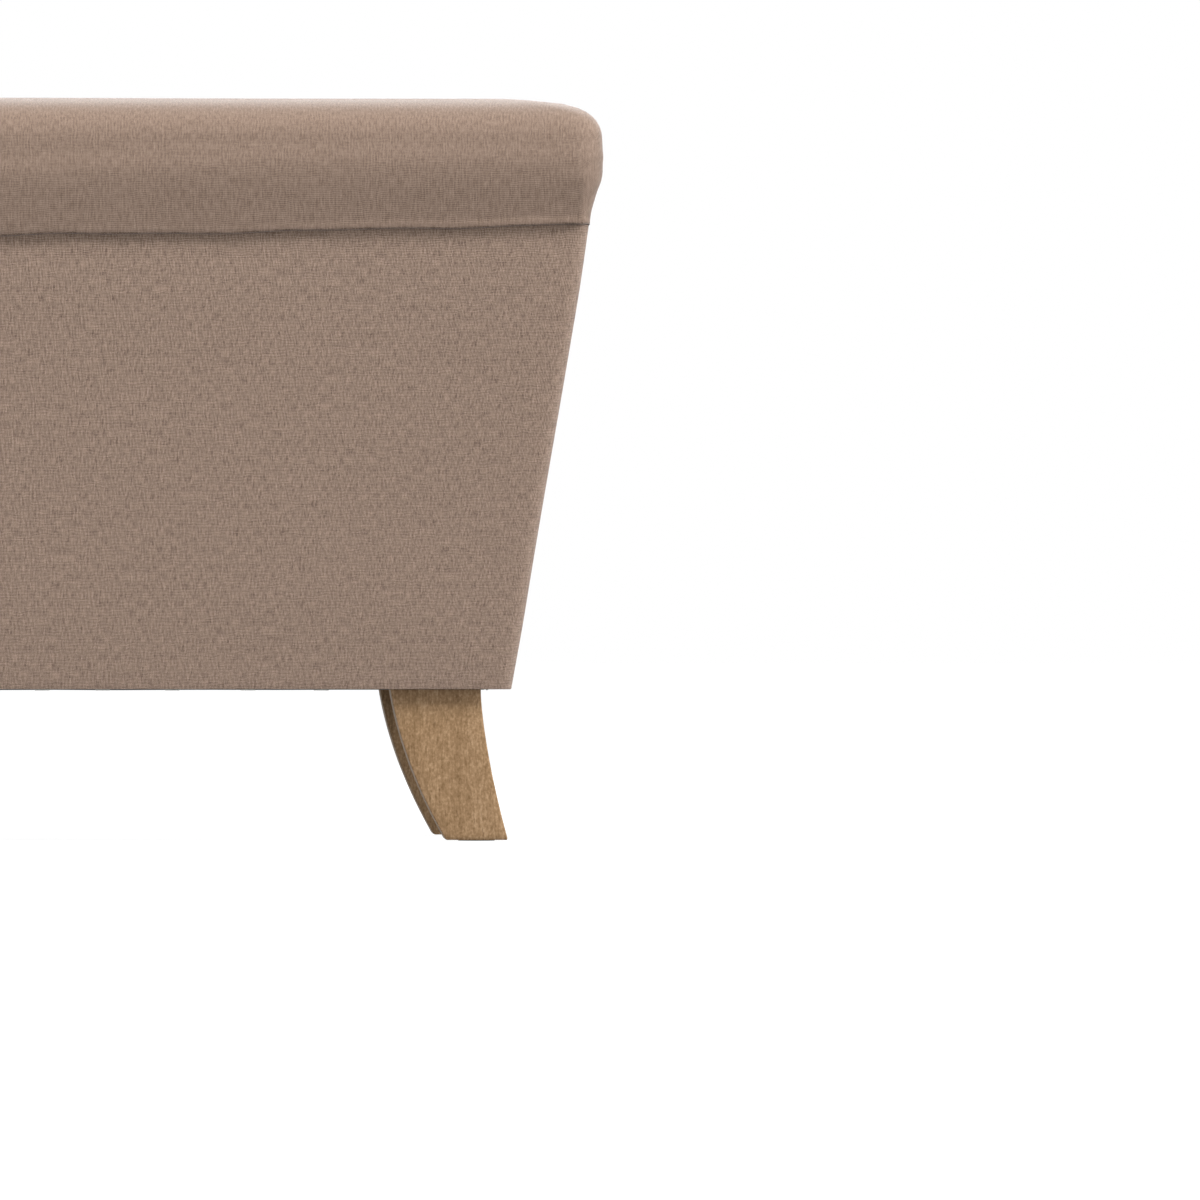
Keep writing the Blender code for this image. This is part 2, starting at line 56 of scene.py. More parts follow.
# ---------------------------------------------------------------- places, from the frame
BOX_LOW, BOX_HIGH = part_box("box_cover")
LID_LOW, LID_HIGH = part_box("lid_cover")
LINING_LOW, LINING_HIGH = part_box("storage_lining")
TAPER = 0.1630  # how far the box's sides lean in, per metre down
LEG_TOP = (0.3907, 0.4498)  # a leg's inner and outer edge at its top, from the middle
SIDES = (("left", -1), ("right", 1))
ENDS = (("front", -1), ("rear", 1))


def box_half(z, inset=0.0):
    """The covered box's half width and half depth at a height, less an inset."""
    lean = TAPER * (BOX_HIGH.z - z) + inset
    return BOX_HIGH.x - lean, BOX_HIGH.y - lean


# ---------------------------------------------------------------- mesh making
def smoothstep(low, high, value):
    t = min(max((value - low) / (high - low), 0.0), 1.0)
    return t * t * (3 - 2 * t)


def curve_through(points, value):
    """Reads a smooth curve through (value, result) points."""
    for (x0, y0), (x1, y1) in zip(points, points[1:]):
        if value <= x1:
            break
    i = points.index((x0, y0))
    before = points[max(i - 1, 0)]
    after = points[min(i + 2, len(points) - 1)]
    m0 = (y1 - before[1]) / max(x1 - before[0], TINY)
    m1 = (after[1] - y0) / max(after[0] - x0, TINY)
    span = x1 - x0
    t = min(max((value - x0) / span, 0.0), 1.0)
    a, b = 2 * t**3 - 3 * t**2 + 1, t**3 - 2 * t**2 + t
    c, d = -2 * t**3 + 3 * t**2, t**3 - t**2
    return a * y0 + b * span * m0 + c * y1 + d * span * m1


def ring_plan(half_x, half_y, radius, spacing, arc_steps):
    """Where a rounded rectangle's points lie: (x side, y side, part, fraction) is the same for any size."""
    plan = []
    for corner in range(4):
        for step in range(arc_steps):
            plan.append(("arc", corner, step / arc_steps))
        length = 2 * (half_y if corner in (1, 3) else half_x) - 2 * radius
        count = max(2, round(length / spacing))
        for step in range(count):
            plan.append(("run", corner, step / count))
    return plan


def ring_points(plan, half_x, half_y, radius):
    """The points of one rounded rectangle, counter-clockwise from its +X side."""
    signs = ((1, 1), (-1, 1), (-1, -1), (1, -1))
    points = []
    for kind, corner, t in plan:
        sx, sy = signs[corner]
        start = math.radians(90 * corner)
        centre = (sx * (half_x - radius), sy * (half_y - radius))
        if kind == "arc":
            angle = start + t * math.pi / 2
            points.append((centre[0] + radius * math.cos(angle), centre[1] + radius * math.sin(angle)))
        else:
            nx, ny = signs[(corner + 1) % 4]
            angle = start + math.pi / 2
            to = (nx * (half_x - radius), ny * (half_y - radius))
            ox, oy = radius * math.cos(angle), radius * math.sin(angle)
            x = centre[0] + (to[0] - centre[0]) * t + ox
            y = centre[1] + (to[1] - centre[1]) * t + oy
            points.append((x, y))
    return points


def linked(name, data):
    """A new object in the scene."""
    thing = bpy.data.objects.new(name, data)
    bpy.context.scene.collection.objects.link(thing)
    return thing


def skin(name, rows, wrap_rows=False, cap_first=False, cap_last=False):
    """A mesh of quads through rows of equally many points, each row a closed ring, with UVs in metres."""
    rows = [[Vector(p) for p in row] for row in rows]
    count = len(rows[0])
    mesh = bpy.data.meshes.new(name)
    verts = [p for row in rows for p in row]
    faces = []
    last = len(rows) if wrap_rows else len(rows) - 1
    for r in range(last):
        low, high = r * count, ((r + 1) % len(rows)) * count
        for i in range(count):
            j = (i + 1) % count
            faces.append((low + i, low + j, high + j, high + i))
    if cap_first:
        faces.append(tuple(range(count))[::-1])
    if cap_last:
        faces.append(tuple(range((len(rows) - 1) * count, len(rows) * count)))
    mesh.from_pydata(verts, [], faces)
    across = [0.0]
    widest = max(rows, key=lambda row: max(p.x for p in row))
    for i in range(count):
        across.append(across[-1] + (widest[(i + 1) % count] - widest[i]).length)
    down = [0.0]
    for low, high in zip(rows, rows[1:]):
        down.append(down[-1] + (high[0] - low[0]).length)
    if wrap_rows:
        down.append(down[-1] + (rows[0][0] - rows[-1][0]).length)
    uv = mesh.uv_layers.new(name="cloth")
    loop = 0
    for r in range(last):
        for i in range(count):
            for u, v in ((i, r), (i + 1, r), (i + 1, r + 1), (i, r + 1)):
                uv.data[loop].uv = (across[u], down[v])
                loop += 1
    piece = linked(name, mesh)
    shape = bmesh.new()
    shape.from_mesh(mesh)
    bmesh.ops.recalc_face_normals(shape, faces=shape.faces)
    shape.to_mesh(mesh)
    shape.free()
    mesh.shade_smooth()
    return piece


def joined(name, shapes):
    """One object from several bmeshes."""
    whole = bmesh.new()
    for shape in shapes:
        part = bpy.data.meshes.new("part")
        shape.to_mesh(part)
        shape.free()
        whole.from_mesh(part)
        bpy.data.meshes.remove(part)
    mesh = bpy.data.meshes.new(name)
    whole.to_mesh(mesh)
    whole.free()
    mesh.shade_smooth()
    mesh.set_sharp_from_angle(angle=HARD_ANGLE)
    return linked(name, mesh)


# ---------------------------------------------------------------- materials
class Nodes:
    """A new material, with a short way to write its node tree."""

    def __init__(self, name):
        self.material = bpy.data.materials.new(name)
        self.material.use_nodes = True
        self.tree = self.material.node_tree
        self.shader = self.tree.nodes["Principled BSDF"]

    def add(self, kind, *inputs, **settings):
        """A node with its first inputs filled, in order, and its own settings."""
        node = self.tree.nodes.new(kind)
        for key, value in settings.items():
            setattr(node, key, value)
        for index, value in enumerate(inputs):
            if value is not None:
                self.put(node.inputs[index], value)
        return node

    def put(self, socket, value):
        """Fills a socket from another socket, from a node's first output, or with a plain value."""
        if isinstance(value, bpy.types.NodeSocket):
            self.tree.links.new(value, socket)
        elif isinstance(value, bpy.types.Node):
            self.tree.links.new(value.outputs[0], socket)
        else:
            socket.default_value = value

    def math(self, operation, *inputs, clamp=False):
        return self.add("ShaderNodeMath", *inputs, operation=operation, use_clamp=clamp)

    def object_place(self):
        return self.add("ShaderNodeTexCoord").outputs["Object"]

    def noise(self, vector, scale, detail=2.0, roughness=0.5):
        node = self.add("ShaderNodeTexNoise", vector)
        node.inputs["Scale"].default_value = scale
        node.inputs["Detail"].default_value = detail
        node.inputs["Roughness"].default_value = roughness
        return node

    def stretched(self, vector, scale):
        return self.add("ShaderNodeVectorMath", vector, scale, operation="MULTIPLY")

    def ramp(self, value, *stops):
        node = self.add("ShaderNodeValToRGB", value)
        ramp = node.color_ramp
        for index, (place, colour) in enumerate(stops):
            stop = ramp.elements[index] if index < 2 else ramp.elements.new(place)
            stop.position = place
            stop.color = (*colour, 1.0)
        return node

    def mix(self, factor, a, b, blend="MIX"):
        node = self.add("ShaderNodeMix", data_type="RGBA", blend_type=blend)
        for index, value in ((0, factor), (6, a), (7, b)):
            if isinstance(value, tuple) and len(value) == 3:
                value = (*value, 1.0)
            self.put(node.inputs[index], value)
        return node.outputs[2]

    def shaded(self, colour, tone):
        """A colour made darker or lighter by a varying tone."""
        return self.mix(1.0, colour, self.add("ShaderNodeCombineXYZ", tone, tone, tone), "MULTIPLY")

    def set(self, **values):
        """Fills the shader's sockets, their names written with underscores."""
        for key, value in values.items():
            self.put(self.shader.inputs[key.replace("_", " ")], value)

    def bump(self, height, distance, strength):
        node = self.add("ShaderNodeBump")
        node.inputs["Strength"].default_value = strength
        node.inputs["Distance"].default_value = distance
        self.put(node.inputs["Height"], height)
        self.put(self.shader.inputs["Normal"], node)


THREAD_REPEAT = 0.0019  # metres from one thread to the next but one
THREAD_WANDER = 0.9 * THREAD_REPEAT
SPECKLE = 760.0  # specks per metre
THREAD_RUN = 0.22 * SPECKLE  # changes of tone per metre, along a thread
SLUB_WIDTH = 0.8 * SPECKLE
SLUB_RUNS = (0.12 * SPECKLE, 0.10 * SPECKLE)  # along the warp and the weft
LINEN_RELIEF = 0.00025


def linen(name, base, light, dark, contrast):
    """Plain-weave cloth on UVs in metres: uneven threads, speckle, short slubs, mottled colour, and painted
    shade between the threads.
    """
    n = Nodes(name)
    uv = n.add("ShaderNodeUVMap", uv_map="cloth")
    wander = n.noise(uv, 130.0, 2.0)
    off = n.add("ShaderNodeVectorMath", wander.outputs["Color"], (0.5, 0.5, 0.5), operation="SUBTRACT")
    off = n.add("ShaderNodeVectorMath", off, (THREAD_WANDER,) * 3, operation="MULTIPLY")
    place = n.add("ShaderNodeVectorMath", uv, off, operation="ADD")
    turns = n.add("ShaderNodeVectorMath", place, (2 * math.pi / THREAD_REPEAT,) * 3, operation="MULTIPLY")
    split = n.add("ShaderNodeSeparateXYZ", turns)
    along = n.math("SINE", split.outputs[0])
    across = n.math("SINE", split.outputs[1])
    over = n.math("MULTIPLY", along, across)
    is_warp = n.math("MULTIPLY_ADD", over, 2.5, 0.5, clamp=True)
    height = n.add("ShaderNodeMix", is_warp, data_type="FLOAT")
    n.put(height.inputs[2], n.math("ABSOLUTE", across))
    n.put(height.inputs[3], n.math("ABSOLUTE", along))

    # Each thread has its own tone, broken up every few millimetres.
    warp_tone = n.noise(n.stretched(uv, (SPECKLE, THREAD_RUN, 1.0)), 1.0, 1.0, 0.6)
    weft_tone = n.noise(n.stretched(uv, (THREAD_RUN, SPECKLE, 1.0)), 1.0, 1.0, 0.6)
    grains = n.noise(uv, SPECKLE, 2.0, 0.65)
    slub_v = n.noise(n.stretched(uv, (SLUB_WIDTH, SLUB_RUNS[0], 1.0)), 1.0, 1.0)
    slub_h = n.noise(n.stretched(uv, (SLUB_RUNS[1], SLUB_WIDTH, 1.0)), 1.0, 1.0)
    slub = n.math("MULTIPLY_ADD", n.math("MAXIMUM", slub_v, slub_h), 8.0, -5.1, clamp=True)
    cloud = n.noise(uv, 34.0, 4.0, 0.6)

    tone = n.math("MULTIPLY_ADD", grains, 0.9 * contrast, 0.5 - 0.45 * contrast)
    tone = n.math("MULTIPLY_ADD", n.math("SUBTRACT", warp_tone, 0.5), 1.5 * contrast, tone)
    tone = n.math("MULTIPLY_ADD", n.math("SUBTRACT", weft_tone, 0.5), 0.4 * contrast, tone)
    # Painted shade: darker where the weave is low, between the threads, and lighter on their crowns.
    tone = n.math("MULTIPLY_ADD", n.math("SUBTRACT", height, 0.64), 1.6 * contrast, tone)
    tone = n.math("MULTIPLY_ADD", n.math("SUBTRACT", cloud, 0.5), 0.12, tone, clamp=True)
    tone = n.math("MULTIPLY_ADD", slub, 0.22 * contrast, tone, clamp=True)
    colour = n.ramp(tone, (0.0, dark), (1.0, light), (0.5, base))
    n.set(Base_Color=colour, Roughness=0.88, Sheen_Weight=0.25, Sheen_Roughness=0.4, Specular_IOR_Level=0.15)
    relief = n.math("MULTIPLY_ADD", grains, 0.8, height)
    relief = n.math("MULTIPLY_ADD", slub, 0.4, relief)
    n.bump(relief, LINEN_RELIEF, 0.5 * contrast)
    return n.material


def oak(name):
    """Light oak: short vertical fibres, darker pores, faint growth bands and a satin lacquer."""
    n = Nodes(name)
    place = n.object_place()
    bend = n.noise(place, 14.0, 1.0)
    off = n.add("ShaderNodeVectorMath", bend.outputs["Color"], (0.008, 0.008, 0.0), operation="MULTIPLY")
    place = n.add("ShaderNodeVectorMath", place, off, operation="ADD")
    bands = n.noise(n.stretched(place, (110.0, 110.0, 4.0)), 1.0, 3.0, 0.6)
    fibres = n.noise(n.stretched(place, (760.0, 760.0, 130.0)), 1.0, 3.0, 0.65)
    specks = n.noise(n.stretched(place, (700.0, 700.0, 520.0)), 1.0, 2.0, 0.6)
    pores = n.noise(n.stretched(place, (1100.0, 1100.0, 95.0)), 1.0, 1.0)
    pore = n.math("MULTIPLY_ADD", pores, -9.0, 3.1, clamp=True)
    tone = n.math("MULTIPLY_ADD", fibres, 1.1, -0.05)
    tone = n.math("MULTIPLY_ADD", n.math("SUBTRACT", specks, 0.5), 1.2, tone)
    tone = n.math("MULTIPLY_ADD", n.math("SUBTRACT", bands, 0.5), 0.55, tone, clamp=True)
    colour = n.ramp(tone, (0.12, OAK_TONES[0]), (0.88, OAK_TONES[2]), (0.5, OAK_TONES[1]))
    colour = n.mix(n.math("MULTIPLY", pore, 0.55), colour, OAK_TONES[3])
    rough = n.math("MULTIPLY_ADD", fibres, 0.2, 0.45)
    n.set(Base_Color=colour, Roughness=rough, Specular_IOR_Level=0.08)
    relief = n.math("MULTIPLY_ADD", pore, -0.8, fibres)
    n.bump(relief, 0.00012, 0.45)
    return n.material


def plywood(name):
    """Birch plywood: a long grain, and faint plies one above the other."""
    n = Nodes(name)
    place = n.object_place()
    grain = n.noise(n.stretched(place, (9.0, 160.0, 160.0)), 1.0, 4.0, 0.6)
    plies = n.add("ShaderNodeTexWave", n.stretched(place, (1.0, 1.0, 350.0)))
    plies.bands_direction = "Z"
    plies.inputs["Scale"].default_value = 1.0
    colour = n.ramp(grain, (0.3, (0.36, 0.24, 0.13)), (0.7, (0.58, 0.43, 0.27)))
    colour = n.mix(0.12, colour, plies.outputs["Color"], "MULTIPLY")
    n.set(Base_Color=colour, Roughness=0.72)
    n.bump(grain, 0.0002, 0.3)
    return n.material


def felted(name, colour, scale=1.0):
    """Non-woven cloth: fine random fibres and a faint dimpled bonding pattern."""
    n = Nodes(name)
    place = n.object_place()
    stretch = (700.0 * scale, 700.0 * scale, 500.0 * scale)
    fibres = n.noise(n.stretched(place, stretch), 1.0, 4.0, 0.7)
    dimples = n.add("ShaderNodeTexVoronoi", place)
    dimples.inputs["Scale"].default_value = 420.0 * scale
    cloud = n.noise(place, 12.0, 2.0)
    tone = n.math("MULTIPLY_ADD", fibres, 0.9, 0.55)
    tone = n.math("MULTIPLY", tone, n.math("MULTIPLY_ADD", cloud, 0.3, 0.85))
    colour = n.shaded(colour, tone)
    n.set(Base_Color=colour, Roughness=0.92, Sheen_Weight=0.15, Sheen_Roughness=0.5)
    relief = n.math("MULTIPLY_ADD", dimples.outputs["Distance"], 0.8, fibres)
    n.bump(relief, 0.0002, 0.5)
    return n.material


def metal(name, colour, roughness, metallic=1.0, brushed=0.0):
    """Plated or painted steel with faint cloudiness, fine scratches and handling marks."""
    n = Nodes(name)
    place = n.object_place()
    cloud = n.noise(place, 60.0, 3.0)
    scratch = n.noise(n.stretched(place, (60.0, 900.0, 900.0)), 1.0, 2.0)
    tone = n.math("MULTIPLY_ADD", cloud, 0.3, 0.85)
    rough = n.math("MULTIPLY_ADD", cloud, 0.25, roughness - 0.12)
    rough = n.math("MULTIPLY_ADD", scratch, brushed, rough)
    n.set(Base_Color=n.shaded(colour, tone), Roughness=rough, Metallic=metallic)
    n.bump(scratch, 0.00005, 0.2 + brushed)
    return n.material


def moulded(name, colour, roughness=0.45):
    """Moulded plastic or rubber with a fine spark texture."""
    n = Nodes(name)
    place = n.object_place()
    spark = n.noise(place, 1400.0, 2.0)
    tone = n.math("MULTIPLY_ADD", n.noise(place, 90.0), 0.3, 0.85)
    rough = n.math("MULTIPLY_ADD", spark, 0.2, roughness - 0.1)
    n.set(Base_Color=n.shaded(colour, tone), Roughness=rough)
    n.bump(spark, 0.00005, 0.4)
    return n.material


# The base, light and dark tones of each cloth. The lid's is the same cloth, stretched smoother over its foam,
# and painted darker than the box's: painted shade.
BOX_TONES = ((0.195, 0.137, 0.1035), (0.350, 0.255, 0.199), (0.090, 0.060, 0.043))
LID_PAINTED_SHADE_TONES = ((0.170, 0.120, 0.0905), (0.262, 0.189, 0.147), (0.100, 0.067, 0.049))
BOX_CLOTH = linen("box_linen", *BOX_TONES, contrast=1.3)
LID_CLOTH_PAINTED_SHADE = linen("lid_linen_painted_shade", *LID_PAINTED_SHADE_TONES, contrast=0.65)
# Dark, middle and light wood, then the pores.
OAK_TONES = ((0.140, 0.082, 0.037), (0.224, 0.138, 0.071), (0.325, 0.215, 0.124), (0.085, 0.046, 0.021))
OAK = oak("leg_oak")
PLYWOOD = plywood("birch_plywood")
NONWOVEN = felted("black_nonwoven", (0.030, 0.030, 0.033))
LINING_CLOTH = felted("storage_lining_cloth", (0.045, 0.042, 0.042), 0.8)
ZINC = metal("zinc_plate", (0.43, 0.43, 0.41), 0.38, brushed=0.15)
CHROME = metal("rod_chrome", (0.72, 0.73, 0.74), 0.2)
BLACK_LACQUER = metal("black_lacquer", (0.022, 0.022, 0.024), 0.36, metallic=0.2)
BLACK_PLASTIC = moulded("glide_plastic", (0.030, 0.028, 0.027))
CLEAR_RUBBER = moulded("bumper_rubber", (0.30, 0.29, 0.27), 0.35)


def dress(piece, material):
    piece.data.materials.clear()
    piece.data.materials.append(material)


def show(piece, material, body):
    dress(piece, material)
    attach(piece, body)
    return piece


# ---------------------------------------------------------------- the box's cover
def wavy(point, scale, seed):
    """Slow unevenness from -1 to 1."""
    return noise.noise(Vector(point) * scale + Vector((seed, 0, 0))) * 1.6


COVER_CORNER = 0.009
COVER_MIN_CORNER = 0.0012
TOP_EDGE = 0.0030  # how round the cover's upper and lower edges are
LOW_EDGE = 0.0006
UNDER_FOLD = 0.0235  # where the fold under the box ends, in from the outside
BACK_GAP = 0.0026  # from the cover's outside to its back
CLOTH_DEPTH = 0.0009
MOUTH = 0.0198  # the face of the fold inside the box's mouth, in from the outside
MOUTH_EDGE = 0.0014
MOUTH_FOLD = 0.0245  # how far down inside that fold reaches
FOLD_INSET = 0.0195  # what lies less far in than this lifts with the padding
LIFT = 0.0020  # how far the padding lifts the front and side edges, up to the lid
SWELL = 0.00045  # the middle of the walls stands out by this
SWELL_UNEVEN = 0.00035
SWELL_EDGE = 0.05  # distance from the edges over which the walls swell
WALL_ROWS = 32
FIRST_OUTSIDE = 5  # the first of the cover's rings that face outwards
OUTSIDE_ROWS = WALL_ROWS + 10


def cover_path():
    """(inset, height) of the cover's rings: under the box, up outside, over the edge, down inside, back."""
    low, high = BOX_LOW.z, BOX_HIGH.z
    under = low + 0.0001
    path = [(inset, under) for inset in (UNDER_FOLD, 0.016, 0.009)]
    for step in range(6):
        angle = math.radians(90 * step / 5)
        path.append((LOW_EDGE * (1 - math.sin(angle)), under + LOW_EDGE * (1 - math.cos(angle))))
    wall = high - TOP_EDGE - low - LOW_EDGE
    for step in range(1, WALL_ROWS):
        path.append((0.0, low + LOW_EDGE + wall * step / WALL_ROWS))
    for step in range(7):
        angle = math.radians(90 * step / 6)
        path.append((TOP_EDGE * (1 - math.cos(angle)), high - TOP_EDGE + TOP_EDGE * math.sin(angle)))
    path += [(inset, high) for inset in (0.007, 0.012, 0.017)]
    for step in range(4):
        angle = math.radians(30 + 60 * step / 3)
        inset = 0.0183 + MOUTH_EDGE * math.sin(angle)
        path.append((inset, high - MOUTH_EDGE + MOUTH_EDGE * math.cos(angle)))
    path += [(MOUTH, high - depth) for depth in (0.006, 0.014, MOUTH_FOLD)]
    path += [(MOUTH - CLOTH_DEPTH, high - depth) for depth in (MOUTH_FOLD, 0.014, 0.004, 0.0010)]
    path += [(0.010, high - CLOTH_DEPTH), (0.0034, high - 0.0010), (BACK_GAP, high - 0.006)]
    path += [(BACK_GAP, low + 0.15), (BACK_GAP, low + 0.004)]
    path += [(0.0034, low + CLOTH_DEPTH), (UNDER_FOLD, low + CLOTH_DEPTH)]
    return path


def make_box_cover():
    """One stretched sleeve, with soft edges, a fold under the box and a fold down inside its mouth."""
    low, high = BOX_LOW.z, BOX_HIGH.z
    plan = ring_plan(BOX_HIGH.x, BOX_HIGH.y, COVER_CORNER, 0.010, 8)
    rows = []
    for index, (inset, z) in enumerate(cover_path()):
        half_x, half_y = box_half(z, inset)
        outside = FIRST_OUTSIDE <= index < FIRST_OUTSIDE + OUTSIDE_ROWS
        radius = max(COVER_CORNER - inset, COVER_MIN_CORNER)
        row = []
        for x, y in ring_points(plan, half_x, half_y, radius):
            z_here = z
            if inset < FOLD_INSET:
                off_rear = 1 - smoothstep(half_y - 0.03, half_y - 0.012, y)
                z_here += LIFT * smoothstep(high - 0.02, high - 0.004, z) * off_rear
            if outside:
                inside = smoothstep(low, low + SWELL_EDGE, z) * smoothstep(high, high - SWELL_EDGE, z)
                swell = SWELL * inside + SWELL_UNEVEN * wavy((x, y, z), 9.0, 3.0) * inside
                if abs(x) < half_x - radius:
                    y += math.copysign(swell, y)
                else:
                    x += math.copysign(swell, x)
            row.append((x, y, z_here))
        rows.append(row)
    piece = skin("box_upholstery", rows, wrap_rows=True)
    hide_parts("box_cover")
    return show(piece, BOX_CLOTH, "box")


# ---------------------------------------------------------------- the lid
# Height above the lid's underside, and how far its ends and its front stand out from the box's top edge.
LID_FRONT = (
    (0.0000, 0.0000),
    (0.0100, 0.0046),
    (0.0200, 0.0080),
    (0.0300, 0.0099),
    (0.0400, 0.0107),
    (0.0530, 0.0108),
    (0.0620, 0.0090),
    (0.0700, 0.0040),
    (0.0760, -0.0050),
    (0.0800, -0.0180),
    (0.0822, -0.0340),
)
LID_END = (
    (0.0000, 0.0002),
    (0.0073, 0.0012),
    (0.0138, 0.0031),
    (0.0203, 0.0052),
    (0.0268, 0.0078),
    (0.0320, 0.0086),
    (0.0430, 0.0096),
    (0.0530, 0.0103),
    (0.0620, 0.0090),
    (0.0700, 0.0040),
    (0.0760, -0.0050),
    (0.0800, -0.0180),
    (0.0822, -0.0340),
)
LID_CORNER = 0.0085
LIP_DROP = 0.0013  # the lower edge hangs this far below the lid's underside at the corners
LIP_SAG = {"front": 0.0090, "end": 0.0040}  # and this much lower again in the middle of a side
# The lower edge's rings: how far out from the box's wall, and how high above the edge.
LIP_ROUND = ((0.0004, 0.0016), (0.0009, 0.0006), (0.0020, 0.0), (0.0033, 0.0003), (0.0041, 0.0014))
LIP_ROLL = (0.0022, 0.009)  # the roll above the lower edge: how far it stands out, and its height
LID_STEPS = 28
SHOULDER = 0.055  # above this height the corners open out towards the crown
LIP_FADE = 0.030  # height over which the lower edge's curve fades out upwards
CROWN = 0.0030
CROWN_START = 0.043
CROWN_STEP = 0.012
PUFF_FROM = 0.012  # the cloth is held below this height, and ever less up to the next
PUFF_FREE = 0.075


def on_long_side(x, y):
    """Whether a point of a ring belongs to the front or the rear, not to an end."""
    return abs(y) - BOX_HIGH.y > abs(x) - BOX_HIGH.x


def lip_height(x, y):
    """The lid's lower edge: just over the box's top edge at the corners, and lower between them."""
    corner_z = LID_LOW.z - LIP_DROP
    if not on_long_side(x, y):
        return corner_z - LIP_SAG["end"] * max(0.0, 1 - (y / LID_HIGH.y) ** 2)
    if y > 0:
        return LID_LOW.z + 0.0004
    across = max(0.0, 1 - (x / LID_HIGH.x) ** 2)
    ripple = 0.0006 * math.sin(x * 37.0 + 0.9) + 0.0004 * math.sin(x * 83.0)
    return corner_z - LIP_SAG["front"] * across + ripple * smoothstep(0.0, 0.4, across)


def lid_rings():
    """The lid's rings from the fold under its board, round the rolled lower edge, and up to the crown."""
    plan = ring_plan(BOX_HIGH.x, BOX_HIGH.y, LID_CORNER, 0.013, 8)
    under = LID_LOW.z + 0.0003
    rings = []

    def ring(end, front, radius, height):
        points = ring_points(plan, BOX_HIGH.x + end, BOX_HIGH.y + front, radius)
        rings.append([Vector((x, y, height(x, y))) for x, y in points])

    def lip_ring(reach, rise):
        """A ring of the rolled lower edge, a reach out from the box's leaning wall, less at the ends."""
        row = []
        for x, y in ring_points(plan, BOX_HIGH.x, BOX_HIGH.y, LID_CORNER):
            z = lip_height(x, y)
            lean = TAPER * max(0.0, BOX_HIGH.z - z)
            at_end = 0.0001 + 0.03 * reach
            x *= 1 - (lean - at_end) / BOX_HIGH.x
            y *= 1 - (lean - reach) / BOX_HIGH.y
            row.append(Vector((x, y, z + rise)))
        rings.append(row)

    ring(-0.0300, -0.0300, 0.004, lambda x, y: under + 0.0030)
    for inset in (0.0295, 0.020, 0.011, 0.004):
        ring(-inset, -inset, 0.004, lambda x, y: under)
    lip_ring(0.0004, (under - BOX_HIGH.z) * 0.8)
    for reach, rise in LIP_ROUND:
        lip_ring(reach, rise)
    top = LID_END[-1][0]
    for step in range(1, LID_STEPS + 1):
        rise = top * step / LID_STEPS
        end, front = curve_through(LID_END, rise), curve_through(LID_FRONT, rise)
        roll = LIP_ROLL[0] * math.exp(-((rise / LIP_ROLL[1]) ** 2))
        radius = LID_CORNER + end
        if rise >= SHOULDER:
            radius = max(LID_CORNER + 0.0103, 0.019 + 0.25 * max(0.0, -end))
        share = 1 - smoothstep(0.0, LIP_FADE, rise)

        def height(x, y):
            return LID_LOW.z + rise + share * (lip_height(x, y) - LID_LOW.z + 0.0008)

        ring(end, front + roll, radius, height)
    inset = CROWN_START
    while inset < BOX_HIGH.y - 0.010:
        t = inset / BOX_HIGH.y
        crown = LID_LOW.z + top + CROWN * math.sin(t * math.pi / 2)
        ring(-inset, -inset, 0.026 * (1 - t) + 0.004, lambda x, y: crown)
        inset += CROWN_STEP
    return rings


def read_vertices(mesh, what="co"):
    """The mesh's points, or their normals, as an array with a row for each."""
    values = np.empty(len(mesh.vertices) * 3)
    mesh.vertices.foreach_get(what, values)
    return values.reshape(-1, 3)


def write_vertices(mesh, points):
    mesh.vertices.foreach_set("co", points.ravel())
    mesh.update()


def puff(piece, held, rows, frames, pressure, most):
    """Inflates a cover of rings by cloth simulation, held by weight, then caps and evens the movement."""
    start = read_vertices(piece.data)
    group = piece.vertex_groups.new(name="held")
    for index, weight in enumerate(held):
        if weight > 0:
            group.add([index], weight, "REPLACE")
    cloth = piece.modifiers.new("Puff", "CLOTH")
    settings = cloth.settings
    settings.quality = 4
    settings.mass = 0.25
    settings.tension_stiffness = settings.compression_stiffness = 12.0
    settings.shear_stiffness = 8.0
    settings.bending_stiffness = 1.5
    settings.use_pressure = True
    settings.uniform_pressure_force = pressure
    settings.vertex_group_mass = "held"
    settings.pin_stiffness = 1.0
    settings.effector_weights.gravity = 0.0
    cloth.collision_settings.use_collision = False
    scene = bpy.context.scene
    scene.frame_start, scene.frame_end = 1, frames
    cloth.point_cache.frame_start, cloth.point_cache.frame_end = 1, frames
    for number in range(1, frames + 1):
        scene.frame_set(number)
    shown = piece.evaluated_get(bpy.context.evaluated_depsgraph_get())
    end = read_vertices(shown.data)
    piece.modifiers.remove(cloth)
    piece.vertex_groups.remove(group)
    scene.frame_set(1)
    moved = (end - start).reshape(rows, -1, 3)
    length = np.linalg.norm(moved, axis=2, keepdims=True)
    moved *= np.minimum(1.0, most / np.maximum(length, TINY))
    for _ in range(4):
        padded = np.concatenate((moved[:1], moved, moved[-1:]))
        moved = 0.25 * padded[:-2] + 0.5 * moved + 0.25 * padded[2:]
        moved = 0.25 * np.roll(moved, 1, 1) + 0.5 * moved + 0.25 * np.roll(moved, -1, 1)
    write_vertices(piece.data, start + moved.reshape(-1, 3))


def crease(points, centre, along, width, length, depth):
    """How deep a soft furrow, along a direction through a centre, is at each of the points."""
    centre, along = np.array(centre), np.array(along) / np.linalg.norm(along)
    away = points - centre
    run = away @ along
    off = away - np.outer(run, along)
    off[:, :2] *= 0.25  # a furrow is narrow in height and wide in depth
    near = np.linalg.norm(off, axis=1)
    return depth * np.exp(-((near / width) ** 2)) * np.exp(-((run / length) ** 2))


